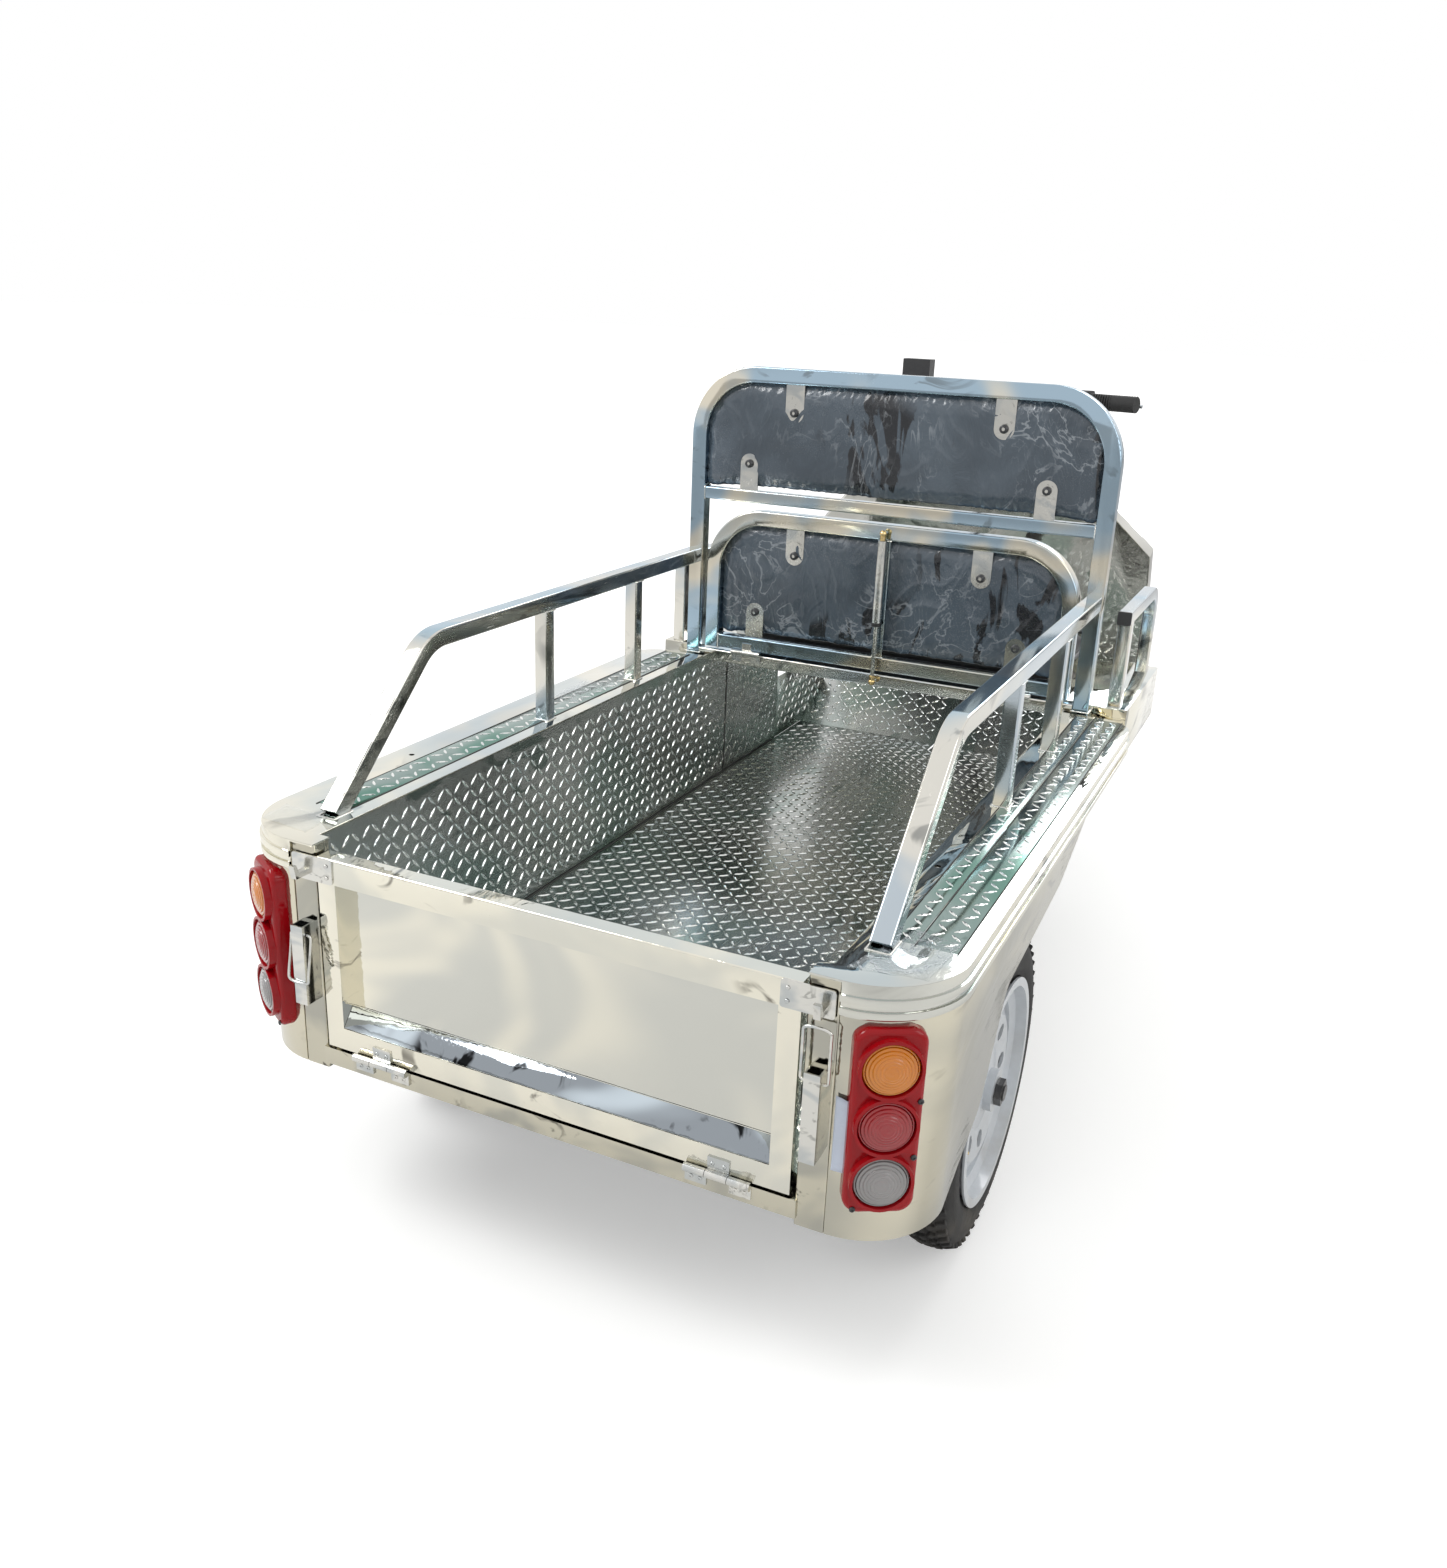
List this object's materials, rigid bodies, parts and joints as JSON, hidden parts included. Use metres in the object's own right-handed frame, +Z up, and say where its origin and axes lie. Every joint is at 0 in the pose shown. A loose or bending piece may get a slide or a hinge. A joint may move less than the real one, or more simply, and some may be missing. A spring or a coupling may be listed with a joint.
{
  "type": "electric cargo tricycle",
  "caption": "Three-wheeled electric load carrier with an open tread-plate bed, side rails, drop tailgate, roll hoop and folding backrest.",
  "frame": {"origin": "ground level under the middle of the overall box", "axes": "+Y forward, +X vehicle's right, +Z up"},
  "size_m": [1.023, 2.5495, 1.1859],
  "materials": {
    "tread_plate": "bright rolled stainless tread plate",
    "stainless_mirror": "mirror-polished stainless sheet",
    "stainless_tube": "polished stainless square tube",
    "stainless_small": "polished stainless fittings",
    "lamp_red": "gloss red moulding",
    "lens_amber": "amber ribbed lens",
    "lens_red": "red ribbed lens",
    "lens_clear": "clear ribbed lens",
    "black_vinyl": "black vinyl under clear film",
    "black_plastic": "black moulded plastic",
    "black_paint": "black chassis paint",
    "cast_aluminium": "bare cast aluminium",
    "fork_chrome": "bright plated steel",
    "grip_rubber": "black rubber",
    "tyre": "black tyre rubber",
    "rim_silver": "silver paint on pressed steel"
  },
  "bodies": {
    "chassis": {"bed_floor": "tread_plate", "bed_walls": "tread_plate", "deck_left": "stainless_mirror", "deck_right": "stainless_mirror", "side_panel_left": "stainless_mirror", "side_panel_right": "stainless_mirror", "rear_frame": "stainless_mirror", "tailgate_hinge_lower": "stainless_small", "latch_levers": "stainless_small", "latch_rings": "stainless_small", "tail_lamp_housings": "lamp_red", "lamp_lens_amber": "lens_amber", "lamp_lens_red": "lens_red", "lamp_lens_clear": "lens_clear", "side_rail_left": "stainless_tube", "side_rail_right": "stainless_tube", "seat_hoop": "stainless_tube", "hinge_bar": "stainless_tube", "fold_hinge_lower": "stainless_small", "back_pad": "black_vinyl", "back_pad_tabs": "stainless_small", "seat_base": "stainless_mirror", "seat_cushion": "black_vinyl", "armrests": "stainless_tube", "armrest_caps": "black_plastic", "chassis_frame": "black_paint", "rear_axle": "black_paint", "drive_motor": "cast_aluminium", "leaf_springs": "black_paint", "spring_hangers": "black_paint", "spring_clamps": "black_paint", "battery_block": "black_plastic", "battery_tray": "black_paint", "leg_shield": "stainless_mirror", "nose_cowl": "stainless_mirror", "headlamp_shell": "black_plastic", "headlamp_lens": "lens_clear"},
    "tailgate": {"tailgate_frame": "stainless_mirror", "tailgate_panel": "stainless_mirror", "tailgate_hinge_upper": "stainless_small", "tailgate_ears": "stainless_small"},
    "fold_backrest": {"fold_hoop": "stainless_tube", "fold_hinge_upper": "stainless_small", "fold_pad": "black_vinyl", "fold_pad_tabs": "stainless_small"},
    "strut_upper": {"strut_cylinder": "stainless_small"},
    "strut_lower": {"strut_rod": "stainless_small"},
    "steering": {"fork": "fork_chrome", "handlebar": "fork_chrome", "hand_grips": "grip_rubber", "control_pods": "black_plastic", "front_mudguard": "black_paint"},
    "front_wheel": {"tyre_front": "tyre", "rim_front": "rim_silver"},
    "rear_wheel_left": {"tyre_rear_left": "tyre", "rim_rear_left": "rim_silver"},
    "rear_wheel_right": {"tyre_rear_right": "tyre", "rim_rear_right": "rim_silver"}
  },
  "joints": [
    {"name": "tailgate_hinge", "type": "hinge", "parent": "chassis", "child": "tailgate", "pos_m": [0, -1.257, 0.2955], "axis": [1, 0, 0], "range_deg": [0, 175]},
    {"name": "backrest_fold", "type": "hinge", "parent": "chassis", "child": "fold_backrest", "pos_m": [0, -0.05, 0.612], "axis": [1, 0, 0], "range_deg": [0, 90]},
    {"name": "strut_pivot", "type": "hinge", "parent": "fold_backrest", "child": "strut_upper", "pos_m": [0, -0.0595, 0.888], "axis": [1, 0, 0], "range_deg": [-1.6, 0.4]},
    {"name": "strut_slide", "type": "slide", "parent": "strut_upper", "child": "strut_lower", "axis": [0, 0, 1], "range_m": [0, 0.026]},
    {"name": "steering_turn", "type": "hinge", "parent": "chassis", "child": "steering", "pos_m": [0, 0.82723, 0.6], "axis": [0, -0.4067, 0.9135], "range_deg": [-40, 40]},
    {"name": "front_wheel_spin", "type": "hinge", "parent": "steering", "child": "front_wheel", "pos_m": [0, 1.039, 0.235], "axis": [1, 0, 0], "continuous": true},
    {"name": "rear_wheel_left_spin", "type": "hinge", "parent": "chassis", "child": "rear_wheel_left", "pos_m": [-0.45, -0.807, 0.235], "axis": [1, 0, 0], "continuous": true},
    {"name": "rear_wheel_right_spin", "type": "hinge", "parent": "chassis", "child": "rear_wheel_right", "pos_m": [0.45, -0.807, 0.235], "axis": [1, 0, 0], "continuous": true}
  ],
  "couplings": [
    {"joint": "strut_pivot", "follows": "backrest_fold", "ratio": -0.01433},
    {"joint": "strut_slide", "follows": "backrest_fold", "m_per_rad": 0.01585}
  ]
}
